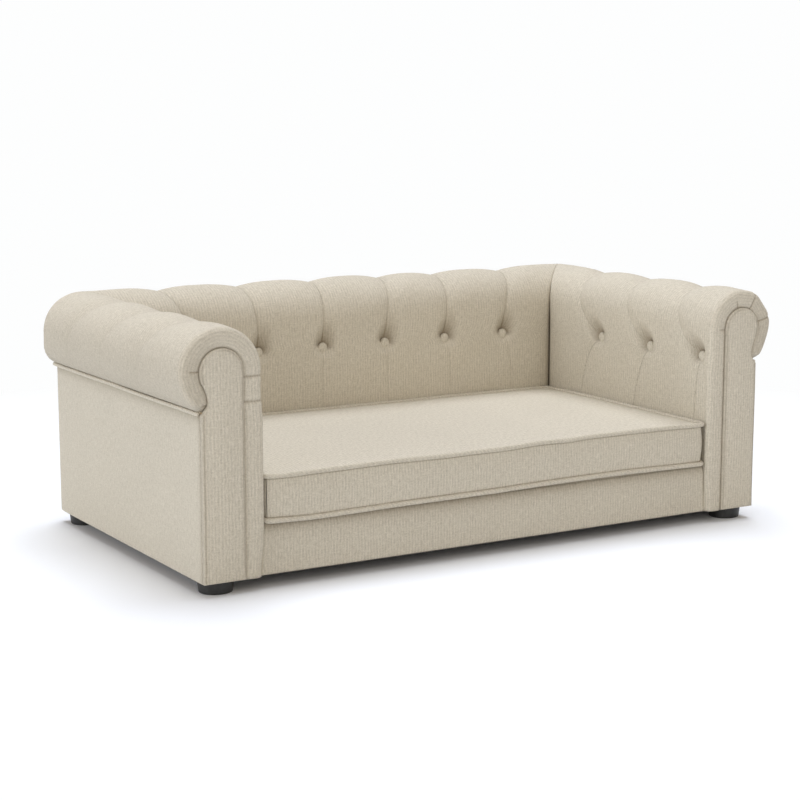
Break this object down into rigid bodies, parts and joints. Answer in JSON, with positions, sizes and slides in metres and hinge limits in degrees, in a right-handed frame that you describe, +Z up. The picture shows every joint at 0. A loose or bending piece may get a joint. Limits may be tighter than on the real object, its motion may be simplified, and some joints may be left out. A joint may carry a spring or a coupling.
{
  "type": "pet sofa bed",
  "caption": "Low three-sided pet sofa with rolled, button-tufted arms and back, scroll facings, round feet and a loose boxed cushion with piping and a rear zip.",
  "frame": {"origin": "on the floor, under the middle of the sofa's bounding box", "axes": "+X across the sofa to the sitter's left as seen from the front (right in a front view), +Y from the open front to the back, +Z up"},
  "size_m": [1, 0.548, 0.36],
  "materials": {
    "linen": "woven beige linen look, matt",
    "lining": "thin non-woven lining, matt black",
    "foam": "open-cell polyurethane foam and wadding",
    "board": "raw plywood",
    "timber": "planed pine, raw",
    "tube_board": "wound board tube, raw",
    "twine": "twisted upholstery twine with plastic clips",
    "foot_plastic": "satin black moulded plastic",
    "steel": "zinc plated",
    "zip_tape": "woven zip tape",
    "zip_nylon": "nylon coil",
    "zip_metal": "enamelled die casting"
  },
  "bodies": {
    "sofa": {"right_arm_front_board": "board", "right_arm_inner_board": "board", "right_arm_outer_board": "board", "right_arm_rear_board": "board", "right_arm_bottom_rail": "timber", "right_arm_roll_tube": "tube_board", "right_arm_foam": "foam", "right_arm_cover": "linen", "right_arm_facing": "linen", "right_arm_side_cover": "linen", "right_arm_buttons": "linen", "right_arm_button_ties": "twine", "left_arm_front_board": "board", "left_arm_inner_board": "board", "left_arm_outer_board": "board", "left_arm_rear_board": "board", "left_arm_bottom_rail": "timber", "left_arm_roll_tube": "tube_board", "left_arm_foam": "foam", "left_arm_cover": "linen", "left_arm_facing": "linen", "left_arm_side_cover": "linen", "left_arm_buttons": "linen", "left_arm_button_ties": "twine", "back_roll_tube": "tube_board", "back_inner_board": "board", "back_outer_board": "board", "back_posts": "timber", "back_foam": "foam", "back_cover": "linen", "back_rear_cover": "linen", "back_buttons": "linen", "back_button_ties": "twine", "roll_welt": "linen", "front_rail": "timber", "rear_rail": "timber", "right_side_rail": "timber", "left_side_rail": "timber", "centre_rail": "timber", "seat_deck": "board", "deck_cover": "lining", "front_rail_cover": "linen", "deck_screws": "steel", "frame_screws": "steel", "underside_lining": "lining", "lining_staples": "steel", "foot_front_left": "foot_plastic", "foot_front_right": "foot_plastic", "foot_rear_left": "foot_plastic", "foot_rear_right": "foot_plastic", "foot_studs": "steel", "foot_inserts": "steel"},
    "cushion": {"cushion_foam": "foam", "cushion_cover": "linen", "cushion_lower_piping": "linen", "cushion_upper_piping": "linen", "zip_tape": "zip_tape", "zip_coil": "zip_nylon"},
    "zip_slider": {"zip_slider": "zip_metal"},
    "zip_pull": {"zip_pull": "zip_metal"}
  },
  "joints": [
    {"name": "cushion_lift", "type": "slide", "parent": "sofa", "child": "cushion", "axis": [0, 0, 1], "range_m": [0, 0.3]},
    {"name": "zip_slide", "type": "slide", "parent": "cushion", "child": "zip_slider", "axis": [1, 0, 0], "range_m": [0, 0.481]},
    {"name": "zip_swing", "type": "hinge", "parent": "zip_slider", "child": "zip_pull", "pos_m": [-0.2405, 0.1471, 0.1253], "axis": [0, 0, 1], "range_deg": [0, 15]}
  ]
}
